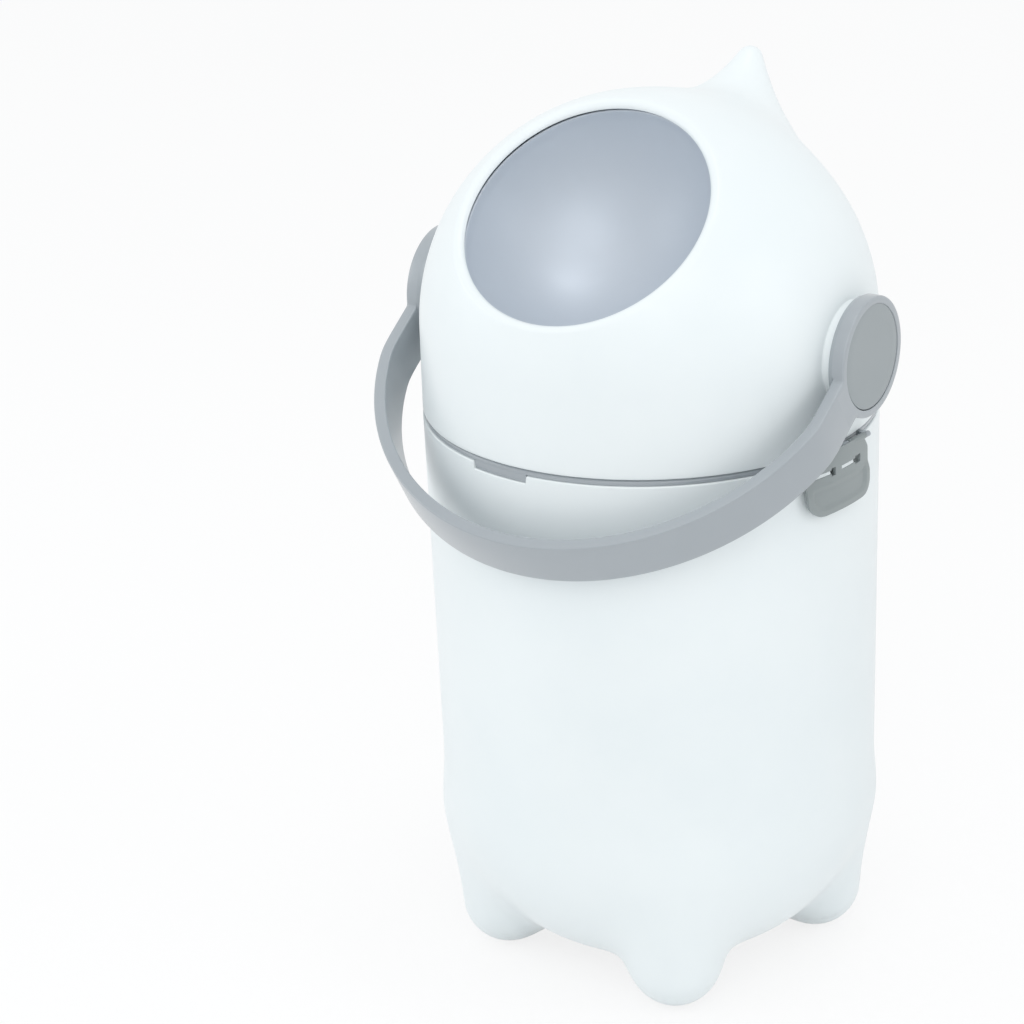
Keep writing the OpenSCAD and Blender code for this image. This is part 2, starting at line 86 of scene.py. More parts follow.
# Head
SEAM_Z = 352.0
HUB_Z = 401.5
HEAD_WALL = 3.0
MOUTH_LIFT = 51.0
MOUTH_R = 74.7
HORN_FOOT = (0, 103.95, 484.22)
HORN_FOOT_R = 25.0
HORN_TIP = (0, 125.15, 526.88)
HORN_TIP_R = 6.7
HORN_BLEND = 75.2
BORE_R = 14.0
BOSS_R = 30.4
BOSS_FACE_X = 137.1

# Drum and bowl
DRUM_R = 128.0
DRUM_IN_R = 125.8
DISH_S = 118.6
DISH_R = 77.58
DISH_WALL = 2.2
SPLIT_S = 24.0
SPLIT_GAP = 0.2
SPLIT_RISE = 10.6
STOP_R = 60
STOP_DEEP = 8
STOP_SPAN = 6

# Handle
REST_DROP = 31.9
FACE_X = 147.7
EYE_IN_X = 137.4
STRAP_W = 30.6
STRAP_T = 7.3
STRAP_LOW = 0.5
STRAP_R = 151.2
STRAP_CENTRE_U = 31.7
CAP_R = 30.9
CAP_BACK_X = 144.2
ARM_END = 42.0
EYE_R = 35.6
EYE_TAPER = 0.8
EDGE = 1.0
FILLET = 2.5


# ---------------- mesh helpers

def join(*parts):
    """Joins (points, faces) pairs into one pair."""
    points, faces = [], []
    for part_points, part_faces in parts:
        start = len(points)
        points.extend(tuple(p) for p in part_points)
        faces.extend(tuple(i + start for i in face) for face in part_faces)
    return points, faces


def moved(part, place):
    """The part with its points sent through place, which takes an (n, 3) array."""
    points, faces = part
    return place(np.asarray(points, float)), faces


def fan(points, faces, row, count, pole):
    """Adds triangles from a row of count points to a pole."""
    points.append(tuple(pole))
    tip = len(points) - 1
    for j in range(count):
        faces.append((row * count + j, row * count + (j + 1) % count, tip))


def rings(rows, first=None, last=None, loop=False):
    """A skin over rows of points that run round; poles or a loop of rows close it."""
    count = len(rows[0])
    points = [p for row in rows for p in row]
    faces = []
    pairs = [(i, i + 1) for i in range(len(rows) - 1)]
    if loop:
        pairs.append((len(rows) - 1, 0))
    for a, b in pairs:
        for j in range(count):
            k = (j + 1) % count
            faces.append((a * count + j, a * count + k, b * count + k, b * count + j))
    for pole, row in ((first, 0), (last, len(rows) - 1)):
        if pole is not None:
            fan(points, faces, row, count, pole)
    return points, faces


def split_shell(rows, joint, low, high):
    """A looped skin opened after row joint, its two sides closed at poles on Z."""
    count = len(rows[0])
    points, faces = rings(rows, loop=True)
    faces = [f for f in faces if not (f[0] // count == joint and f[2] // count == joint + 1)]
    for height, row in ((low, joint), (high, joint + 1)):
        fan(points, faces, row, count, (0.0, 0.0, height))
    return points, faces


def around(a, r, z):
    """Points about Z at the angles a, at radius r and height z."""
    return np.stack([r * np.cos(a), r * np.sin(a), np.broadcast_to(z, a.shape)], 1)


def lathe(profile, steps=128):
    """Turns a closed profile of (r, z) about Z. Ends at r = 0 become poles."""
    turn = np.linspace(0, 2 * math.pi, steps, endpoint=False)
    ends = [profile[0][0] == 0, profile[-1][0] == 0]
    body = profile[1 if ends[0] else 0:len(profile) - 1 if ends[1] else len(profile)]
    rows = [around(turn, r, z) for r, z in body]
    first = (0, 0, profile[0][1]) if ends[0] else None
    last = (0, 0, profile[-1][1]) if ends[1] else None
    return rings(rows, first, last, loop=not any(ends))


def bent_box(place, nu=1, nv=1, nw=1):
    """A closed box of nu by nv by nw cells, its unit coordinates sent through place."""
    counts = (nu, nv, nw)
    grid, points, faces = {}, [], []

    def at(i, j, k):
        if (i, j, k) not in grid:
            grid[i, j, k] = len(points)
            points.append((i / nu, j / nv, k / nw))
        return grid[i, j, k]

    for axis in range(3):
        u, v = [a for a in range(3) if a != axis]
        for end in (0, counts[axis]):
            for a in range(counts[u]):
                for b in range(counts[v]):
                    quad = []
                    for da, db in ((0, 0), (1, 0), (1, 1), (0, 1)):
                        cell = [0, 0, 0]
                        cell[axis], cell[u], cell[v] = end, a + da, b + db
                        quad.append(at(*cell))
                    faces.append(tuple(quad))
    return place(np.array(points)), faces


def cos_sin(degrees):
    """The cosine and the sine of an angle."""
    a = math.radians(degrees)
    return math.cos(a), math.sin(a)


def arc(cx, cz, r, start, end, steps):
    """Points of an arc in the (r, z) plane, from start to end degrees."""
    turn = [cos_sin(a) for a in np.linspace(start, end, steps)]
    return [(cx + r * c, cz + r * s) for c, s in turn]


def bezier(p0, p1, p2, p3, steps):
    """Points of a cubic Bezier curve."""
    t = np.linspace(0, 1, steps)[:, None]
    p0, p1, p2, p3 = (np.asarray(p, float) for p in (p0, p1, p2, p3))
    curve = ((1 - t) ** 3 * p0 + 3 * (1 - t) ** 2 * t * p1
             + 3 * (1 - t) * t ** 2 * p2 + t ** 3 * p3)
    return [tuple(p) for p in curve]


def smooth(a, b, x):
    """0 below a, 1 above b, and an even ramp between."""
    t = np.clip((np.asarray(x, float) - a) / (b - a), 0, 1)
    return t * t * (3 - 2 * t)


def spread(start, end, count, peaks, closed=False):
    """Values from start to end, closer together near each (centre, width, gain)."""
    fine = np.linspace(start, end, 4001)
    weight = np.ones_like(fine)
    for centre, width, gain in peaks:
        weight += gain * np.exp(-((fine - centre) / width) ** 2)
    total = np.concatenate([[0], np.cumsum((weight[1:] + weight[:-1]) / 2)])
    wanted = np.linspace(0, total[-1], count + 1 if closed else count)
    values = np.interp(wanted, total, fine)
    return values[:-1] if closed else values


def on_mouth_axis(points):
    """From a frame whose Z is the mouth's axis to the bin's."""
    a = math.radians(90 - MOUTH_LIFT)
    x, y, z = points.T
    return np.stack([x, y * math.cos(a) - z * math.sin(a),
                     y * math.sin(a) + z * math.cos(a) + HUB_Z], 1)


def on_hub_axis(right=True):
    """A place function from a frame whose Z is the hub's axis, on the right or left."""
    side = 1 if right else -1
    return lambda points: np.stack([side * points[:, 2], points[:, 1],
                                    HUB_Z - points[:, 0]], 1)


def turned(yaw):
    """A place function that turns points about Z by yaw degrees."""
    c, s = cos_sin(yaw)
    return lambda points: np.stack([c * points[:, 0] - s * points[:, 1],
                                    s * points[:, 0] + c * points[:, 1],
                                    points[:, 2]], 1)


def ring_block(yaw, span, r1, r2, z1, z2, steps=8):
    """A block bent round Z, in the middle of its span at yaw."""
    def place(u):
        a = np.radians(yaw + span * (u[:, 0] - 0.5))
        return around(a, r1 + (r2 - r1) * u[:, 1], z1 + (z2 - z1) * u[:, 2])
    return bent_box(place, nu=steps)


def mesh_object(name, part):
    """An object of the part, in metres, its mesh cleaned and its faces outward."""
    points, faces = part
    mesh = bpy.data.meshes.new(name)
    mesh.from_pydata([tuple(c * MM for c in p) for p in points], [], faces)
    obj = bpy.data.objects.new(name, mesh)
    bpy.context.scene.collection.objects.link(obj)
    work = bmesh.new()
    work.from_mesh(mesh)
    bmesh.ops.remove_doubles(work, verts=work.verts, dist=2e-6)
    bmesh.ops.dissolve_degenerate(work, dist=1e-7, edges=work.edges)
    bmesh.ops.recalc_face_normals(work, faces=work.faces)
    work.to_mesh(mesh)
    work.free()
    return obj


def piece(name, part, material, body, stands_for=(), crease=32, bevel=0):
    """Makes an object of the part and hands it to the frame."""
    obj = mesh_object(name, part)
    obj.data.materials.append(material)
    if bevel:
        apply_modifier(obj, "BEVEL", width=bevel * MM, segments=3, limit_method="ANGLE",
                       angle_limit=math.radians(38), harden_normals=False)
    smooth_faces(obj.data, crease)
    dress(obj, body, stands_for)
    return obj


def smooth_faces(mesh, crease):
    """Smooth shading with sharp edges above crease degrees."""
    mesh.shade_smooth()
    mesh.set_sharp_from_angle(angle=math.radians(crease))


def apply_modifier(obj, kind, **settings):
    """Adds a modifier, takes its result as the object's own mesh and removes it."""
    modifier = obj.modifiers.new(kind.lower(), kind)
    for key, value in settings.items():
        setattr(modifier, key, value)
    bake_modifiers(obj)


def bake_modifiers(obj):
    """Makes the evaluated mesh the object's own and clears its modifiers."""
    bpy.context.view_layer.update()
    graph = bpy.context.evaluated_depsgraph_get()
    result = bpy.data.meshes.new_from_object(obj.evaluated_get(graph))
    old = obj.data
    obj.modifiers.clear()
    obj.data = result
    result.name = obj.name
    bpy.data.meshes.remove(old)


def dress(obj, body, stands_for):
    """Hangs the piece under the empty of the body that carries it, and hides the nodes it
    stands for.
    """
    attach(obj, body)
    if stands_for:
        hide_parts(*stands_for)


# ---------------- finishes

def add_node(tree, kind, settings=None, inputs=None):
    """One node: its settings, then the values of its sockets or the sockets it reads."""
    made = tree.nodes.new(kind)
    for key, value in (settings or {}).items():
        setattr(made, key, value)
    for key, value in (inputs or {}).items():
        if isinstance(value, bpy.types.NodeSocket):
            tree.links.new(value, made.inputs[key])
        else:
            made.inputs[key].default_value = value
    return made


class Link:
    """A shader socket that Python's operators work on."""

    def __init__(self, finish, socket):
        self.finish = finish
        self.socket = socket

    def _math(self, operation, first, second):
        return self.finish.node("ShaderNodeMath", {"operation": operation},
                                {0: first, 1: second})

    def __add__(self, other):
        return self._math("ADD", self, other)

    __radd__ = __add__

    def __mul__(self, other):
        return self._math("MULTIPLY", self, other)

    __rmul__ = __mul__

    def __sub__(self, other):
        return self._math("SUBTRACT", self, other)

    def __rsub__(self, other):
        return self._math("SUBTRACT", other, self)


class Finish:
    """A procedural material: one shader, and nodes that read Object coordinates."""

    def __init__(self, name, **constants):
        self.material = bpy.data.materials.new(name)
        self.material.use_nodes = True
        self.tree = self.material.node_tree
        self.shader = self.tree.nodes["Principled BSDF"]
        for key, value in constants.items():
            self.shader.inputs[key.replace("_", " ")].default_value = value
        self.place = self.node("ShaderNodeTexCoord", out="Object")

    def node(self, kind, settings=None, inputs=None, out=0):
        """The output of a new node, whose inputs are values or links."""
        inputs = {key: value.socket if isinstance(value, Link) else value
                  for key, value in (inputs or {}).items()}
        return Link(self, add_node(self.tree, kind, settings, inputs).outputs[out])

    def noise(self, scale, detail=3.0, roughness=0.55):
        """Noise about 0.5, with features 1 / scale metres across."""
        return self.node("ShaderNodeTexNoise", None, {
            "Vector": self.place, "Scale": scale, "Detail": detail,
            "Roughness": roughness}, out="Fac")

    def ramp(self, value, low, high):
        """0 where value is below low, 1 above high."""
        return self.node("ShaderNodeMapRange", {"interpolation_type": "SMOOTHSTEP"}, {
            "Value": value, "From Min": low, "From Max": high}, out="Result")

    def mix(self, factor, first, second):
        """A blend of two colours."""
        return self.node("ShaderNodeMix", {"data_type": "RGBA"},
                         {0: factor, 6: first, 7: second}, out=2)

    def feed(self, name, value):
        """Links a value into the shader."""
        self.tree.links.new(value.socket, self.shader.inputs[name])

    def bump(self, height, strength, distance):
        """Feeds a height in metres through a Bump node."""
        self.feed("Normal", self.node("ShaderNodeBump", None, {
            "Height": height, "Strength": strength, "Distance": distance}, out="Normal"))


def rgba(r, g, b):
    """A colour with full alpha."""
    return (r, g, b, 1.0)


def moulded(name, low, high, rough, grain=0.05, scuffed=None, coat=0.0, pearl=0.0):
    """Moulded plastic: a faint clouding of its colour, fine grain, uneven sheen."""
    finish = Finish(name, Coat_Weight=coat, Coat_Roughness=0.28, IOR=1.49, Metallic=pearl)
    cloud = finish.ramp(finish.noise(9.0, 4.0), 0.3, 0.7)
    colour = finish.mix(cloud, rgba(*low), rgba(*high))
    fine = finish.noise(2600.0, 2.0)
    peel = finish.noise(260.0, 2.0)
    sheen = finish.noise(34.0, 5.0)
    roughness = rough + 0.10 * (sheen - 0.5) + 0.05 * (fine - 0.5)
    if scuffed:
        z = finish.node("ShaderNodeSeparateXYZ", None, {"Vector": finish.place}, out="Z")
        patches = finish.ramp(finish.noise(150.0, 6.0, 0.7), 0.52, 0.72)
        worn = patches * (1 - finish.ramp(z, scuffed[0], scuffed[1]))
        colour = finish.mix(0.45 * worn, colour, rgba(0.60, 0.60, 0.59))
        roughness = roughness + 0.18 * worn
    finish.feed("Base Color", colour)
    finish.feed("Roughness", roughness)
    finish.bump(fine + 1.6 * peel, grain, 0.0002)
    return finish.material


def metal(name, colour, rough):
    """Zinc plating with a fine blotchy grain."""
    finish = Finish(name, Metallic=1.0)
    cloud = finish.noise(420.0, 5.0)
    finish.feed("Base Color", finish.mix(cloud, rgba(*[0.86 * c for c in colour]),
                                         rgba(*colour)))
    finish.feed("Roughness", rough + 0.2 * (finish.noise(1500.0, 3.0) - 0.5))
    finish.bump(cloud, 0.08, 0.0002)
    return finish.material


def rubber(name):
    """Soft dark rubber with a matt skin and a bloom of dust."""
    finish = Finish(name, Specular_IOR_Level=0.35)
    bloom = finish.ramp(finish.noise(60.0, 6.0), 0.45, 0.75)
    finish.feed("Base Color", finish.mix(0.5 * bloom, rgba(0.028, 0.029, 0.031),
                                         rgba(0.075, 0.076, 0.078)))
    finish.feed("Roughness", 0.62 + 0.12 * bloom)
    finish.bump(finish.noise(1900.0, 2.0), 0.12, 0.0002)
    return finish.material


WHITE = moulded("satin_white_plastic", (0.806, 0.858, 0.870), (0.834, 0.880, 0.888), 0.36,
                grain=0.04, scuffed=(0.001, 0.022))
BOWL_GREY = moulded("frosted_bowl_plastic", (0.545, 0.595, 0.655), (0.570, 0.618, 0.676),
                    0.48, grain=0.05, pearl=0.3)
GREY = moulded("satin_grey_plastic", (0.332, 0.366, 0.394), (0.352, 0.386, 0.413), 0.40,
               grain=0.06, coat=0.8)
CLIP_GREY = moulded("satin_dark_grey_plastic", (0.272, 0.304, 0.308), (0.290, 0.322, 0.325),
                    0.40, grain=0.06)
CAP_GREY = moulded("satin_cap_plastic", (0.312, 0.345, 0.358), (0.332, 0.364, 0.376), 0.42,
                   grain=0.06)
DRUM_GREY = moulded("drum_grey_plastic", (0.345, 0.385, 0.425), (0.370, 0.410, 0.448), 0.34,
                    grain=0.05)
ACETAL = moulded("natural_acetal", (0.66, 0.64, 0.58), (0.72, 0.70, 0.64), 0.33, grain=0.04)
STEEL = metal("zinc_plated_steel", (0.58, 0.60, 0.62), 0.32)
RUBBER = rubber("dark_seal_rubber")


# ---------------- outer shapes

def round_cone(points, low, high, r_low, r_high):
    """Distance to a cone with rounded ends."""
    low, high = np.asarray(low, float), np.asarray(high, float)
    length = np.linalg.norm(high - low)
    axis = (high - low) / length
    rel = points - low
    along = rel @ axis
    away = np.sqrt(np.maximum((rel ** 2).sum(-1) - along ** 2, 0))
    slope = (r_low - r_high) / length
    side = math.sqrt(1 - slope * slope)
    level = side * along - slope * away
    return np.where(level < 0, np.hypot(away, along) - r_low,
                    np.where(level > side * length,
                             np.hypot(away, along - length) - r_high,
                             away * side + along * slope - r_low))


def blend_min(a, b, width):
    """The smaller of two distances, with a soft fillet where they meet."""
    h = np.maximum(width - np.abs(a - b), 0) / width
    return np.minimum(a, b) - h ** 3 * width / 6


def head_distance(points):
    """Distance to the dome with its horn."""
    x, y, z = points.T
    dome = np.sqrt(x ** 2 + y ** 2 + np.maximum(z - HUB_Z, 0) ** 2) - BODY_R
    horn = round_cone(points, HORN_FOOT, HORN_TIP, HORN_FOOT_R, HORN_TIP_R)
    return blend_min(dome, horn, HORN_BLEND)


def bucket_distance(points):
    """Distance to the bucket with its four feet, in the base's own frame."""
    x, y, z = points.T
    r = np.hypot(x, y)
    side = r - (BODY_R - DRAFT * (RIM_Z - z))
    low = np.hypot(np.maximum(r - BELLY_FLAT_R, 0) / BELLY_R, (BELLY_TOP - z) / BELLY_H)
    belly = (low - 1) * BELLY_SCALE
    body = np.where(z > BELLY_TOP, side, belly)
    feet = None
    for yaw in QUARTERS:
        c, s = cos_sin(yaw)
        at = (FOOT_OUT * c, FOOT_OUT * s)
        foot = round_cone(points, (*at, FOOT_LOW_Z), (*at, FOOT_TOP_Z), FOOT_LOW_R,
                          FOOT_TOP_R)
        feet = foot if feet is None else np.minimum(feet, foot)
    return blend_min(body, feet, FOOT_BLEND)


def cast(distance, origin, rays, inset=0.0, near=20.0, far=320.0):
    """Where rays from origin leave the solid that distance describes."""
    low = np.full(len(rays), near)
    high = np.full(len(rays), far)
    origin = np.asarray(origin, float)
    for _ in range(34):
        middle = (low + high) / 2
        inside = distance(origin + rays * middle[:, None]) < -inset
        low = np.where(inside, middle, low)
        high = np.where(inside, high, middle)
    return origin + rays * low[:, None]


def unit(vectors):
    """The vectors at length 1."""
    return vectors / np.linalg.norm(vectors, axis=1)[:, None]


# ---------------- bucket

def bucket_part():
    """The bucket's skin, outside from the rim to the middle and back up inside."""
    flanks = [(yaw + side, 5.0, 1.1) for yaw in QUARTERS for side in (-17, 17)]
    notch = [(261.4, 0.8, 9.0), (278.6, 0.8, 9.0)]
    turn = np.radians(spread(0, 360, 432, flanks + notch, closed=True))
    from_front = np.degrees(turn) - 270
    rim = RIM_Z - NOTCH_DEEP * (1 - smooth(8.35, 8.75, np.abs(from_front)))

    def wall(z, inset=0.0):
        return around(turn, BODY_R - DRAFT * (RIM_Z - z) - inset, z)

    def under(slant, inset):
        c, s = cos_sin(slant)
        points = cast(bucket_distance, eye, around(turn, s, -c), inset)
        points[:, 2] = np.maximum(points[:, 2], inset)
        return points

    rows = []
    for drop in (0.0, 0.12, 0.35, 0.7):
        pull = RIM_ROUND - math.sqrt(RIM_ROUND ** 2 - (RIM_ROUND - drop) ** 2)
        rows.append(wall(rim - drop, pull))
    rows += [wall(rim - drop) for drop in (1.1, 2.4, 4.0)]
    rows += [wall(z) for z in (338.0, 325.0, 300.0, 260.0, 220.0, 180.0, 150.0, 134.0)]
    # Below the wall the rows are cast from a point inside, each one steeper.
    eye = np.array([0.0, 0.0, 260.0])
    wall_r, drop = BODY_R - DRAFT * 222, 135
    slants = np.linspace(math.degrees(math.atan2(wall_r, drop)), 1.2, 104)
    rows += [under(slant, 0.0) for slant in slants]
    joint = len(rows) - 1
    rows += [under(slant, WALL) for slant in slants[::-1][::3]]
    rows += [wall(z, WALL) for z in (134.0, 180.0, 260.0, 338.0)]
    rows += [wall(rim - drop, WALL) for drop in (4.0, 1.0, 0.3)]
    rows += [wall(rim, WALL - 0.4)]
    return split_shell(rows, joint, BELLY_Z, BELLY_Z + WALL)


def catch_part(y1, y2):
    """A catch on the bucket's wall, a tongue that reaches into a clip's window."""
    def place(u):
        a = (y1 + (y2 - y1) * u[:, 0]) / PLATE_R + math.radians(CLIP_YAW - BASE_YAW)
        out = BODY_R - 1.2 + u[:, 1] * (5.3 - 0.9 * u[:, 2])
        z = CATCH_Z - 0.3 * (1 - u[:, 1]) + u[:, 2] * (3.0 - 0.5 * u[:, 1])
        return around(a, out, z)
    return bent_box(place, nu=6, nv=2, nw=4)


def make_bucket():
    """The bucket with its feet, its guessed pad and the clips' catches."""
    catches = [moved(catch_part(*span), turned(side))
               for side in (0, 180) for span in ((-22.4, -9.4), (1.0, 13.4))]
    pad = lathe([(0, 0), (PAD_R - 0.6, 0), (PAD_R - 0.2, 0.2), (PAD_R, 0.6),
                 (PAD_R, BELLY_Z + 1), (0, BELLY_Z + 1)], 72)
    part = moved(join(bucket_part(), pad, *catches), turned(BASE_YAW))
    piece("bucket", part, WHITE, "bin", ["bin_bucket"])


# ---------------- collar

def make_collar():
    """The grey band in the gap, its tab in the rim's notch, its skirt and its lugs."""
    profile = [(129.1, 350.5), (129.1, 334.4), (129.5, 334.0), (130.1, 334.0),
               (131.1, 336.0), (131.1, 348.1), (133.4, 348.1)]
    profile += arc(133.4, 348.7, 0.6, -90, 0, 4)[1:]
    profile += [(134.0, 350.3), (133.0, 351.4), (132.7, 351.5), (126.0, 351.5),
                (126.0, 359.7), (125.7, 360.0), (124.3, 360.0), (124.0, 359.7),
                (124.0, 348.4), (124.3, 348.1), (126.2, 348.1), (126.2, 350.5)]
    parts = [lathe(profile, 288)]
    parts.append(ring_block(NOTCH_YAW, 16.8, 130.6, 133.95, 343.9, 348.6, 24))
    for yaw in (0, 90, 180, 270):
        parts.append(ring_block(yaw - BASE_YAW, 9, 125.8, 128.6, 357.2, 360.0, 8))
    for side in (0, 180):
        yaw = side + CLIP_YAW - BASE_YAW
        for low, high in ((-30, -26.1), (-9.9, 9.9), (26.1, 30)):
            parts.append(moved(knuckle(low, high, bridge=True), turned(yaw)))
    part = moved(join(*parts), turned(BASE_YAW))
    piece("collar", part, GREY, "collar", ["collar_ring"], bevel=0.25)


def knuckle(low, high, r=1.75, bridge=False):
    """A hinge barrel along Y about a clip's pin, with an arm back to the collar."""
    barrel = lathe([(PIN_BORE, low), (r - 0.2, low), (r, low + 0.2), (r, high - 0.2),
                    (r - 0.2, high), (PIN_BORE, high)], 40)
    barrel = moved(barrel, lambda p: np.stack([p[:, 0] + PIN_X, p[:, 2],
                                               p[:, 1] + PIN_Z], 1))
    if not bridge:
        return barrel

    def place(u):
        y = low + (high - low) * u[:, 1]
        back = np.sqrt(132.0 ** 2 - y ** 2)
        x = back + (PIN_X - PIN_BORE - 0.2 - back) * u[:, 0]
        return np.stack([x, y, 348.5 + 2.6 * u[:, 2]], 1)
    return join(barrel, bent_box(place, nv=6))


# ---------------- clips

def clip_half_width(z, front=False):
    """Half the width of a clip at a height, with cut top corners and round lower ones."""
    shoulder = 7.3 * np.clip((z - 341.8) / 9.6, 0, 1) ** 1.2
    corner = 13.5 if front else 9.5
    drop = np.clip(CLIP_LOW + corner - z, 0, corner)
    low = corner - np.sqrt(np.maximum(corner ** 2 - drop ** 2, 0))
    return CLIP_HALF - front - shoulder - low


def clip_part():
    """A clip about +X: a plate with two windows over a scooped grip with a raised lip."""
    windows = ((-23.0, -9.0, -5.3), (0.4, 14.4, 20.4))
    slot_z, square_z = (337.5, 339.8), (336.0, 340.9)
    knuckles = ((-25.7, -10.3), (10.3, 25.7))
    middle = 24.0
    ys = sorted(set([round(v, 3) for v in np.linspace(-middle, middle, 41)]
                    + [y for window in windows for y in window]))
    outer = np.linspace(0, 1, 11)[1:]
    zs = sorted(set([round(v, 3) for v in np.linspace(CLIP_LOW, 333.6, 38)]
                    + [335.0, *slot_z, *square_z, 342.4, 344.2, 346.0, 347.8,
                       349.6, 350.8, 351.5]))
    columns = [("out", -v) for v in outer[::-1]] + [("in", y) for y in ys]
    columns += [("out", v) for v in outer]

    def y_at(column, z):
        kind, v = column
        half = clip_half_width(z, v < 0)
        if kind == "in":
            return v * min(1, (half - 1) / middle)
        inner = min(middle, half - 1)
        return math.copysign(inner + abs(v) * (half - inner), v)

    def outside(y, z):
        side = clip_half_width(max(z, 328.0), y < 0) - abs(y)
        grip = 1 - smooth(327.0, 334.5, z)
        dish = smooth(2.2, 4.4, z - CLIP_LOW) * smooth(3.4, 6.0, side)
        corner = 14.5 if y < 0 else 11.5
        near = math.hypot(max(corner - side, 0), max(corner - (z - CLIP_LOW), 0))
        dish *= 1 - smooth(corner - 5.6, corner - 2.6, near)
        dish *= 1 - smooth(328.5, 332.6, z)
        return PLATE_R + GRIP_OUT * grip - DISH_DEEP * dish

    def inside(y, z):
        if z > 346.0:
            return PLATE_R - 0.75
        return PLATE_R - 2.2 + (outside(y, z) - PLATE_R) * 0.9

    points, index = [], {}

    def point(i, j, layer):
        key = (i, j, layer)
        if key not in index:
            z = zs[i]
            y = y_at(columns[j], z)
            r = outside(y, z) if layer else inside(y, z)
            index[key] = len(points)
            angle = y / PLATE_R
            points.append((r * math.cos(angle), r * math.sin(angle), z))
        return index[key]

    def kept(i, j):
        z = (zs[i] + zs[i + 1]) / 2
        y = (y_at(columns[j], z) + y_at(columns[j + 1], z)) / 2
        for left, step, right in windows:
            low, high = slot_z if y < step else square_z
            if left < y < right and low < z < high:
                return False
        return True

    cells = {(i, j) for i in range(len(zs) - 1) for j in range(len(columns) - 1)
             if kept(i, j)}
    faces = []
    for i, j in cells:
        for layer in (0, 1):
            faces.append((point(i, j, layer), point(i, j + 1, layer),
                          point(i + 1, j + 1, layer), point(i + 1, j, layer)))
        sides = (((i, j), (i, j + 1), (i - 1, j)), ((i + 1, j), (i + 1, j + 1), (i + 1, j)),
                 ((i, j), (i + 1, j), (i, j - 1)), ((i, j + 1), (i + 1, j + 1), (i, j + 1)))
        for a, b, beyond in sides:
            if beyond not in cells:
                faces.append((point(*a, 0), point(*b, 0), point(*b, 1), point(*a, 1)))
    barrels = [knuckle(a, b, r=1.95) for a, b in knuckles]
    return join((points, faces), *barrels)


def make_clips():
    """Both clips, the left one half a turn from the right."""
    for name, side in (("right", 0), ("left", 180)):
        part = moved(clip_part(), turned(CLIP_YAW + side))
        piece(f"{name}_clip", part, CLIP_GREY, f"clip_{name}",
              [f"clip_{name}"], crease=40, bevel=0.35)


# ---------------- head

def head_part():
    """The dome's skin from the mouth's lip down to the seam and back up inside."""
    turn = np.radians(spread(0, 360, 300, [(180, 15, 2.6)], closed=True)) - math.pi / 2
    level = around(turn, 1.0, 0.0)
    centre = np.array([0.0, 0.0, HUB_Z])

    def mouth_row(r, s):
        return on_mouth_axis(around(turn, r, s))

    def dome_rays(part_way, start_r, radius):
        start = unit(mouth_row(start_r, math.sqrt(radius ** 2 - start_r ** 2)) - centre)
        angle = np.arccos(np.clip((start * level).sum(1), -1, 1))[:, None]
        return (np.sin((1 - part_way) * angle) * start
                + np.sin(part_way * angle) * level) / np.sin(angle)

    lip_r = 81.0
    lip_s = math.sqrt(BODY_R ** 2 - lip_r ** 2)
    along = np.array([-lip_s, lip_r]) / BODY_R
    start, stop = np.array([lip_r, lip_s]), np.array([MOUTH_R, 106.1])
    lip = bezier(start, start + 2.6 * along, stop + (0.8, 2.0), stop, 12)
    eye = np.array([0.0, 63.0, HUB_Z])
    rows = [mouth_row(79.6, 105.9), mouth_row(78.0, 105.2), mouth_row(75.2, 105.2),
            mouth_row(74.8, 105.45)]
    rows += [mouth_row(r, s) for r, s in lip[::-1]]
    for part_way in spread(0, 1, 96, [(0.589, 0.2, 1.6)])[1:]:
        guide = centre + BODY_R * dome_rays(part_way, lip_r, BODY_R)
        rows.append(cast(head_distance, eye, unit(guide - eye)))
    rows += [around(turn, BODY_R, z) for z in (394.0, 380.0, 366.0, 356.0, 353.2)]
    bottom = [(134.9, SEAM_Z + 0.6), (134.6, SEAM_Z + 0.2), (134.1, SEAM_Z), (132.4, SEAM_Z),
              (132.0, SEAM_Z + 0.4), (132.0, 366.0), (132.0, 386.0)]
    rows += [around(turn, r, z) for r, z in bottom]
    inner = BODY_R - HEAD_WALL
    for part_way in np.linspace(1, 0, 30):
        rows.append(centre + inner * dome_rays(part_way, 79.7, inner))
    return rings(rows, loop=True)


def boss_part(right):
    """The round boss behind an eye, filleted onto the dome."""
    turn = math.pi - np.linspace(0, 2 * math.pi, 144, endpoint=False)

    def surface(r):
        y, z = r * np.sin(turn), -r * np.cos(turn)
        return np.sqrt(BODY_R ** 2 - y ** 2 - np.maximum(z, 0) ** 2)

    face_x, r = BOSS_FACE_X, BOSS_R
    fillet = np.clip((face_x - surface(r)) * 0.3, 0.3, 1.7)
    profile = [(BORE_R + 0.1, 131.0), (BORE_R + 0.1, 136.2), (14.4, 136.4), (20.6, 136.4),
               (21.0, face_x), (r - 0.7, face_x), (r - 0.2, face_x - 0.15),
               (r, face_x - 0.6)]
    for t in np.linspace(0, 1, 9):
        x = surface(r + fillet) + fillet * (1 - t) ** 2
        profile.append((r + fillet * t ** 2, np.minimum(x, face_x - 0.6)))
    profile += [(r + fillet + 0.8, surface(r + fillet + 0.8) - 0.3),
                (r + 2, surface(r) - 2.4), (16.0, 131.0)]
    rows = [around(turn, out, x) for out, x in profile]
    return moved(rings(rows, loop=True), on_hub_axis(right))


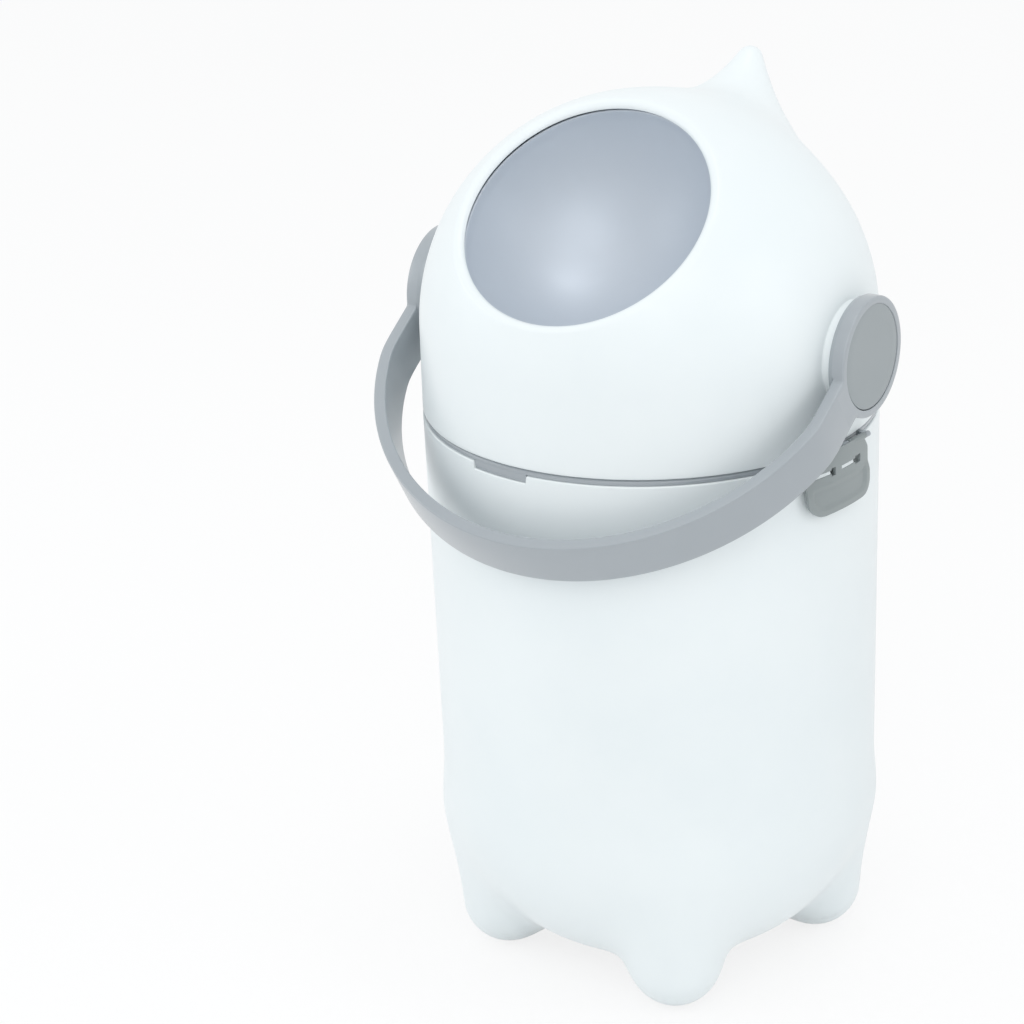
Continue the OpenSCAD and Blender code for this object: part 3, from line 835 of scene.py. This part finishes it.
def stop_block(a, r1, r2, right):
    """A stop in the gap between head and drum, from angle a about the hub's axis."""
    side = 1 if right else -1

    def place(u):
        angle = np.radians(a + STOP_SPAN * u[:, 0])
        away = STOP_R + STOP_DEEP * u[:, 1]
        r = r1 + (r2 - r1) * u[:, 2]
        x = side * np.sqrt(r ** 2 - away ** 2)
        return np.stack([x, -away * np.cos(angle), HUB_Z + away * np.sin(angle)], 1)
    return bent_box(place, nu=5, nv=3)


def make_head():
    """The head with its bores, and its bosses, stops and ears."""
    blocks = []
    for right in (True, False):
        blocks.append(boss_part(right))
        for a in (9.7, 172.3):
            blocks.append(stop_block(a, 129.0, 132.8, right))

    def ear(u):
        return np.stack([126.5 + 5.9 * u[:, 0], 9 * (u[:, 1] - 0.5), 356.8 + 10 * u[:, 2]], 1)

    blocks += [moved(bent_box(ear), turned(yaw)) for yaw in QUARTERS]
    shell = piece("head", head_part(), WHITE, "head", ["head_shell"])
    bore = lathe([(0, -200), (BORE_R, -200), (BORE_R, 200), (0, 200)], 64)
    bore = mesh_object("bore", moved(bore, on_hub_axis()))
    apply_modifier(shell, "BOOLEAN", operation="DIFFERENCE", solver="EXACT", object=bore)
    bpy.data.objects.remove(bore)
    smooth_faces(shell.data, 32)
    piece("head_bosses", join(*blocks), WHITE, "head", crease=40)


# ---------------- bowl and drum

def sphere_row(r, s):
    """A point (r, s) on a ball of radius r at height s."""
    return (math.sqrt(r * r - s * s), s)


def make_bowl():
    """The dished bowl with a rounded lip, its outer wall, posts and stops."""
    low = DISH_S - DISH_R
    reach = math.degrees(math.asin(74.0 / DISH_R))
    profile = [(0, low)] + arc(0, DISH_S, DISH_R, -90, reach - 90, 48)[1:]
    end = profile[-1]
    side = np.array(cos_sin(reach))
    profile += bezier(end, end + 2 * side, (74.9, 99.4), (75.2, 101.4), 7)[1:]
    profile += bezier((75.2, 101.4), (75.35, 102.4), (75.7, 102.8), (76.3, 102.75), 6)[1:]
    profile += [sphere_row(DRUM_R, s) for s in np.linspace(102.3, SPLIT_S + 1, 26)]
    profile += [(125.6, SPLIT_S + 0.3), (125.3, SPLIT_S), (123.9, SPLIT_S),
                (123.6, SPLIT_S + 0.2)]
    profile += [sphere_row(DRUM_IN_R, s) for s in np.linspace(SPLIT_S + 2, 96.0, 14)]
    profile += [(76.6, 97.0), (74.6, 93.0)]
    profile += arc(0, DISH_S, DISH_R + DISH_WALL, -26, -90, 22)[:-1]
    profile.append((0, low - DISH_WALL))
    parts = [moved(lathe(profile, 240), on_mouth_axis)]
    parts += posts(SPLIT_S, 36.0, hole=1.55)
    for right in (True, False):
        parts.append(stop_block(16, 127.0, 130.4, right))
    piece("bowl_insert", join(*parts), BOWL_GREY, "rotor", ["bowl"])


def posts(low, high, hole):
    """Four screw posts along the mouth's axis, against the drum's wall."""
    made = []
    for yaw in QUARTERS:
        post = lathe([(hole, low), (4.7, low), (5.0, low + 0.3), (5.0, high - 0.3),
                      (4.7, high), (hole, high)], 48)
        post = moved(post, lambda p: p + (120.3, 0, 0))
        made.append(moved(moved(post, turned(yaw)), on_mouth_axis))
    return made


def make_drum():
    """The drum's closed back: a ball's wall, flat at the hubs, with pads and posts."""
    top = SPLIT_S - SPLIT_GAP
    profile = [(123.9, top), (125.4, top)]
    profile += arc(0, 0, DRUM_R, SPLIT_RISE, -90, 90)[:-1]
    inside = arc(0, 0, DRUM_IN_R, -90, SPLIT_RISE, 45)[1:]
    turn = np.linspace(0, 2 * math.pi, 240, endpoint=False)
    rows = [around(turn, r, s) for r, s in profile + inside]
    ball = moved(split_shell(rows, len(profile) - 1, -DRUM_R, -DRUM_IN_R), on_mouth_axis)
    ball[0][:, 0] = np.clip(ball[0][:, 0], -127.0, 127.0)
    parts = [ball] + posts(12.0, top, hole=1.7)
    for right in (True, False):
        pad = lathe([(11.0, 121.0), (22.2, 121.0), (22.5, 121.3), (22.5, 124.6),
                     (11.0, 126.0)], 96)
        parts.append(moved(pad, on_hub_axis(right)))
    piece("drum_back", join(*parts), DRUM_GREY, "rotor", ["drum_shell"])


# ---------------- handle

def handle_frame(points):
    """From (x, u forward along the handle, v up across it) to the bin's frame."""
    x, u, v = points.T
    c, s = cos_sin(REST_DROP)
    v = v - STRAP_LOW
    return np.stack([x, -c * u - s * v, HUB_Z - s * u + c * v], 1)


def eye_outline():
    """The eye and the start of its arm: (u, v, outward u, outward v, on the arm)."""
    half = STRAP_W / 2
    reach = math.sqrt((EYE_R + FILLET) ** 2 - (half + FILLET) ** 2)
    bend = math.degrees(math.atan2(half + FILLET, reach))
    points = []
    for a in np.linspace(bend, 360 - bend, 120):
        c, s = cos_sin(a)
        points.append((EYE_R * c, EYE_R * s, c, s, 0.0))
    corner = []
    for a in np.linspace(180 + bend, 270, 8)[1:]:
        c, s = cos_sin(a)
        corner.append((reach + FILLET * c, half + FILLET + FILLET * s, -c, -s, 1.0))
    edge = [(u, half, 0.0, 1.0, 1.0) for u in np.linspace(reach + 3, ARM_END, 4)]
    upper = corner + edge
    lower = [(u, -v, nu, -nv, arm) for u, v, nu, nv, arm in upper]
    end = [(ARM_END, v, 0.0, 0.0, 1.0) for v in np.linspace(-half + 2.2, half - 2.2, 9)]
    return points + lower + end + upper[::-1]


def eye_part():
    """An eye with its cap recess and the flat start of the arm."""
    outline = np.array(eye_outline())
    at, out, arm = outline[:, :2], outline[:, 2:4], outline[:, 4]
    angle = np.arctan2(at[:, 1], at[:, 0])
    round_at = np.stack([np.cos(angle), np.sin(angle)], 1)

    def row(plane, x):
        return np.stack([np.broadcast_to(x, len(plane)), plane[:, 0], plane[:, 1]], 1)

    recess = CAP_R + 0.15
    rows = [row(round_at * r, x) for r, x in
            ((recess - 0.2, CAP_BACK_X), (recess, 144.4), (recess, FACE_X - 0.3),
             (recess + 0.3, FACE_X))]
    for a in (0, 30, 60, 90):
        c, s = cos_sin(a)
        rows.append(row(at - out * EDGE * (1 - s), FACE_X - EDGE * (1 - c)))
    back = FACE_X - STRAP_T
    for a in (90, 60, 30, 0):
        c, s = cos_sin(a)
        pull = EDGE * (1 - s) * arm
        rows.append(row(at - out * pull[:, None], back + EDGE * (1 - c)))
    rows.append(row(round_at * EYE_R, np.where(arm > 0, back, back - 0.01)))
    back_r = EYE_R - EYE_TAPER
    rows.append(row(round_at * back_r, EYE_IN_X + EDGE))
    for a in (45, 0):
        c, s = cos_sin(a)
        rows.append(row(round_at * (back_r - EDGE * (1 - s)), EYE_IN_X + EDGE * (1 - c)))
    return rings(rows, (CAP_BACK_X, 0, 0), (EYE_IN_X, 0, 0))


def strap_part():
    """The strap from arm to arm round the front, with rounded edges."""
    centre_u, radius = STRAP_CENTRE_U, STRAP_R
    start = math.atan2(ARM_END - centre_u, FACE_X)
    turn = np.linspace(start, math.pi - start, 220)
    line = FACE_X / np.maximum(np.abs(np.cos(turn)), 1e-6)
    r = blend_min(line, np.full_like(turn, radius), 3.1)
    outer = np.stack([r * np.cos(turn), r * np.sin(turn) + centre_u], 1)
    along = np.gradient(outer, axis=0)
    along[0], along[-1] = (0, 1), (0, -1)
    normal = unit(np.stack([along[:, 1], -along[:, 0]], 1))
    half = STRAP_W / 2
    section = []
    for cx, cv, first in ((-EDGE, half - EDGE, 0), (EDGE - STRAP_T, half - EDGE, 90),
                          (EDGE - STRAP_T, EDGE - half, 180), (-EDGE, EDGE - half, 270)):
        section += arc(cx, cv, EDGE, first, first + 90, 5)
    rows = []
    for at, n in zip(outer, normal):
        rows.append([(at[0] + n[0] * depth, at[1] + n[1] * depth, v)
                     for depth, v in section])
    caps = [tuple(np.mean(rows[i], axis=0)) for i in (0, -1)]
    return rings(rows, caps[0], caps[1])


def make_handle():
    """The bail with an eye at each end, and the caps in the eyes."""
    right = eye_part()
    left = moved(eye_part(), lambda p: p * (-1, 1, 1))
    part = moved(join(strap_part(), right, left), handle_frame)
    piece("bail_handle", part, GREY, "rotor", ["handle_bail"], crease=40)
    for name, is_right in (("right", True), ("left", False)):
        cap = lathe([(0, FACE_X - 0.05), (24.0, FACE_X - 0.05), (CAP_R - 0.8, FACE_X - 0.1),
                     (CAP_R - 0.25, FACE_X - 0.3), (CAP_R, FACE_X - 0.8), (CAP_R, 144.5),
                     (CAP_R - 0.3, CAP_BACK_X), (12.0, CAP_BACK_X), (7.0, CAP_BACK_X),
                     (6.7, 145.2), (0, 145.2)], 160)
        piece(f"{name}_hub_cap", moved(cap, on_hub_axis(is_right)), CAP_GREY, "rotor",
              [f"hub_cap_{name}"])


# ---------------- screws

def screw_tree():
    """A Geometry Nodes tree that sets cross-headed screws on a circle about Z."""
    tree = bpy.data.node_groups.new("screws_on_a_circle", "GeometryNodeTree")
    tree.interface.new_socket("Geometry", in_out="OUTPUT",
                              socket_type="NodeSocketGeometry")
    sockets = {}
    for name, kind in (("Count", "Int"), ("Ring radius", "Float"), ("Start angle", "Float"),
                       ("Shank radius", "Float"), ("Head radius", "Float"),
                       ("Head height", "Float"), ("Length", "Float")):
        made = tree.interface.new_socket(name, in_out="INPUT",
                                         socket_type="NodeSocket" + kind)
        sockets[name] = made.identifier
    given = tree.nodes.new("NodeGroupInput").outputs

    def node(kind, settings=None, inputs=None):
        return add_node(tree, kind, settings, inputs).outputs[0]

    def joined(*shapes):
        made = tree.nodes.new("GeometryNodeJoinGeometry")
        for shape in shapes:
            tree.links.new(shape, made.inputs[0])
        return made.outputs[0]

    def maths(operation, a, b=0.0):
        return node("ShaderNodeMath", {"operation": operation}, {0: a, 1: b})

    def times(a, b):
        return maths("MULTIPLY", a, b)

    def vector(**axes):
        return node("ShaderNodeCombineXYZ", None, axes)

    def shift(shape, z):
        return node("GeometryNodeTransform", None, {"Geometry": shape,
                                                    "Translation": vector(Z=z)})

    def cone(r_top, r_bottom, depth):
        return node("GeometryNodeMeshCone", None, {
            "Vertices": 24, "Radius Top": r_top, "Radius Bottom": r_bottom, "Depth": depth})

    head_r, head_h = given["Head radius"], given["Head height"]
    head = cone(head_r, times(head_r, 0.78), head_h)
    slot = []
    for across, along in ((0.62, 0.16), (0.16, 0.62)):
        box = vector(X=times(head_r, 2 * across), Y=times(head_r, 2 * along), Z=head_h)
        slot.append(shift(node("GeometryNodeMeshCube", None, {"Size": box}),
                          times(head_h, -0.5)))
    cut = node("GeometryNodeMeshBoolean", {"operation": "DIFFERENCE"},
               {0: head, 1: joined(*slot)})
    shank_r, length = given["Shank radius"], given["Length"]
    shank = shift(cone(shank_r, shank_r, length), times(head_h, 0.5))
    pitch = times(shank_r, 0.75)
    stack = node("GeometryNodeMeshLine", None, {
        "Count": maths("FLOOR", maths("DIVIDE", times(length, 0.8), pitch)),
        "Start Location": vector(Z=times(length, 0.18)), "Offset": vector(Z=pitch)})
    ridge = cone(times(shank_r, 0.8), shank_r, times(pitch, 0.6))
    thread = node("GeometryNodeInstanceOnPoints", None, {"Points": stack,
                                                         "Instance": ridge})
    screw = joined(cut, shank, thread)
    step = maths("DIVIDE", 2 * math.pi, given["Count"])
    angle = maths("ADD", times(node("GeometryNodeInputIndex"), step), given["Start angle"])
    ring = given["Ring radius"]
    spot = vector(X=times(maths("COSINE", angle), ring), Y=times(maths("SINE", angle), ring))
    spots = node("GeometryNodePoints", None, {"Count": given["Count"], "Position": spot})
    placed = node("GeometryNodeInstanceOnPoints", None, {
        "Points": spots, "Instance": screw})
    real = node("GeometryNodeRealizeInstances", None, {"Geometry": placed})
    finished = node("GeometryNodeSetMaterial", None, {"Geometry": real, "Material": STEEL})
    tree.links.new(finished, tree.nodes.new("NodeGroupOutput").inputs[0])
    return tree, sockets


def screw_mesh(tree, sockets, count, ring, start, shank, head, height, length):
    """The plain mesh of one circle of screws, shanks towards +Z, heads from z = 0 up."""
    mesh = bpy.data.meshes.new("screws")
    obj = bpy.data.objects.new("screws", mesh)
    bpy.context.scene.collection.objects.link(obj)
    modifier = obj.modifiers.new("screws", "NODES")
    modifier.node_group = tree
    modifier[sockets["Count"]] = count
    for name, value in (("Ring radius", ring), ("Shank radius", shank),
                        ("Head radius", head), ("Head height", height),
                        ("Length", length)):
        modifier[sockets[name]] = value * MM
    modifier[sockets["Start angle"]] = math.radians(start)
    bpy.context.view_layer.update()
    graph = bpy.context.evaluated_depsgraph_get()
    result = bpy.data.meshes.new_from_object(obj.evaluated_get(graph))
    points = np.array([v.co for v in result.vertices]) / MM
    faces = [tuple(p.vertices) for p in result.polygons]
    bpy.data.objects.remove(obj)
    bpy.data.meshes.remove(result)
    return points + (0, 0, height / 2), faces


def make_screws():
    """Every screw: in the lock ring, the drum, the flanges and the hubs."""
    tree, sockets = screw_tree()

    def screws(z, up=1, **sizes):
        part = screw_mesh(tree, sockets, **sizes)
        return moved(part, lambda p: p * (1, 1, up) + (0, 0, z))

    def both_hubs(part):
        return join(*[moved(part, on_hub_axis(right)) for right in (True, False)])

    lock = screws(352.4, count=4, ring=129.3, start=45, shank=1.5, head=2.6, height=1.8,
                  length=8.8)
    drum = screws(13.0, count=4, ring=120.3, start=45, shank=1.5, head=2.6, height=2.0,
                  length=15.0)
    flange = screws(115.0, count=3, ring=17.0, start=0, shank=1.5, head=2.6, height=2.0,
                    length=7.3)
    hub = screws(144.8, up=-1, count=1, ring=0.0, start=0, shank=2.5, head=4.6, height=2.2,
                 length=15.5)
    for name, part, body, node in (
            ("lock_ring_screws", lock, "head", "lock_screws"),
            ("drum_halves_screws", moved(drum, on_mouth_axis), "rotor", "drum_screws"),
            ("flange_screws", both_hubs(flange), "rotor", "trunnion_screws"),
            ("handle_screws", both_hubs(hub), "rotor", "hub_screws")):
        piece(name, part, STEEL, body, [node], crease=28)


# ---------------- frame's own pieces

KEPT = {
    "bag_seal": RUBBER, "mouth_seal": RUBBER, "drum_seal": RUBBER,
    "clip_pin_right": STEEL, "clip_pin_left": STEEL, "lock_ring": GREY,
    "hub_bush_right": ACETAL, "hub_bush_left": ACETAL,
    "trunnion_right": ACETAL, "trunnion_left": ACETAL,
    "thrust_washer_right": ACETAL, "thrust_washer_left": ACETAL,
}


def finish_kept_nodes():
    """Gives the frame's own seals, pins, bushes and shafts their finishes."""
    for name, material in KEPT.items():
        slots = nodes[name].data.materials
        slots.clear()
        slots.append(material)


# ---------------- camera and light

FLOOR_WHITE = 0.8
SOFT_LIGHT = 0.81


def make_camera():
    """The photograph's view."""
    data = bpy.data.cameras.new("camera")
    data.lens = 152.73
    data.sensor_width = 36.0
    data.clip_end = 30.0
    camera = bpy.data.objects.new("camera", data)
    bpy.context.scene.collection.objects.link(camera)
    right = Vector((0.846472, 0.531381, -0.033469))
    up = Vector((-0.173187, 0.334233, 0.926442))
    back = Vector((0.50348, -0.778411, 0.374946))
    turn = Matrix((right, up, back)).transposed().to_4x4()
    camera.matrix_world = Matrix.Translation((1.23631, -2.06712, 1.25509)) @ turn
    bpy.context.scene.camera = camera


def area_light(name, place, aim, size, power, colour=(1.0, 1.0, 1.0)):
    """A round lamp that looks at aim."""
    data = bpy.data.lights.new(name, "AREA")
    data.shape = "DISK"
    data.size = size
    data.energy = power
    data.color = colour
    light = bpy.data.objects.new(name, data)
    bpy.context.scene.collection.objects.link(light)
    light.location = place
    light.rotation_euler = (Vector(aim) - Vector(place)).to_track_quat("-Z", "Y").to_euler()


def seen_directly(tree):
    """1 for what the camera sees, itself or through gloss and glass, else 0."""
    paths = tree.nodes.new("ShaderNodeLightPath").outputs
    seen = paths["Is Camera Ray"]
    for other in ("Is Glossy Ray", "Is Transmission Ray"):
        seen = add_node(tree, "ShaderNodeMath", {"operation": "MAXIMUM"},
                        {0: seen, 1: paths[other]}).outputs[0]
    return seen


def make_floor():
    """A pale floor: the camera sees it nearly white, with a soft shadow left on it."""
    mesh = bpy.data.meshes.new("floor")
    edge = 6.0
    mesh.from_pydata([(-edge, -edge, 0), (edge, -edge, 0), (edge, edge, 0),
                      (-edge, edge, 0)], [], [(0, 1, 2, 3)])
    floor = bpy.data.objects.new("floor", mesh)
    bpy.context.scene.collection.objects.link(floor)
    finish = Finish("pale_floor", Roughness=0.8)
    tone = finish.ramp(finish.noise(1.4, 3.0), 0.2, 0.8)
    finish.feed("Base Color", finish.mix(tone, rgba(0.90, 0.905, 0.91),
                                         rgba(0.93, 0.935, 0.94)))
    tree = finish.tree
    white = add_node(tree, "ShaderNodeEmission")
    share = add_node(tree, "ShaderNodeMath", {"operation": "MULTIPLY"},
                     {0: seen_directly(tree), 1: FLOOR_WHITE})
    mix = add_node(tree, "ShaderNodeMixShader", None, {
        0: share.outputs[0], 1: finish.shader.outputs[0], 2: white.outputs[0]})
    tree.links.new(mix.outputs[0], tree.nodes["Material Output"].inputs["Surface"])
    floor.data.materials.append(finish.material)


def make_world():
    """White where the camera looks, and a soft cool light for everything else."""
    world = bpy.data.worlds.new("studio")
    bpy.context.scene.world = world
    world.use_nodes = True
    tree = world.node_tree
    tree.nodes.clear()
    soft = add_node(tree, "ShaderNodeBackground", None, {
        "Color": rgba(0.965, 0.985, 1.0), "Strength": SOFT_LIGHT})
    white = add_node(tree, "ShaderNodeBackground", None, {"Color": rgba(1.0, 1.0, 1.0)})
    mix = add_node(tree, "ShaderNodeMixShader", None, {
        0: seen_directly(tree), 1: soft.outputs[0], 2: white.outputs[0]})
    add_node(tree, "ShaderNodeOutputWorld", None, {"Surface": mix.outputs[0]})


def make_lamps():
    """Four large lamps: a high key, a low one each side and one overhead."""
    area_light("key", (0.9, -2.0, 2.2), (0, 0, 0.25), 2.2, 15.5)
    area_light("left", (-2.3, -1.1, 1.1), (0, 0, 0.25), 1.6, 9.0, (0.97, 0.99, 1.0))
    area_light("right", (2.6, 0.3, 1.3), (0, 0, 0.3), 1.4, 6.0)
    area_light("top", (0.25, 0.0, 2.6), (0, 0, 0.4), 0.8, 6.2)


make_camera()
make_bucket()
make_collar()
make_clips()
make_head()
make_bowl()
make_drum()
make_handle()
make_screws()
finish_kept_nodes()
make_floor()
make_world()
make_lamps()

bpy.context.scene.view_settings.view_transform = "Standard"
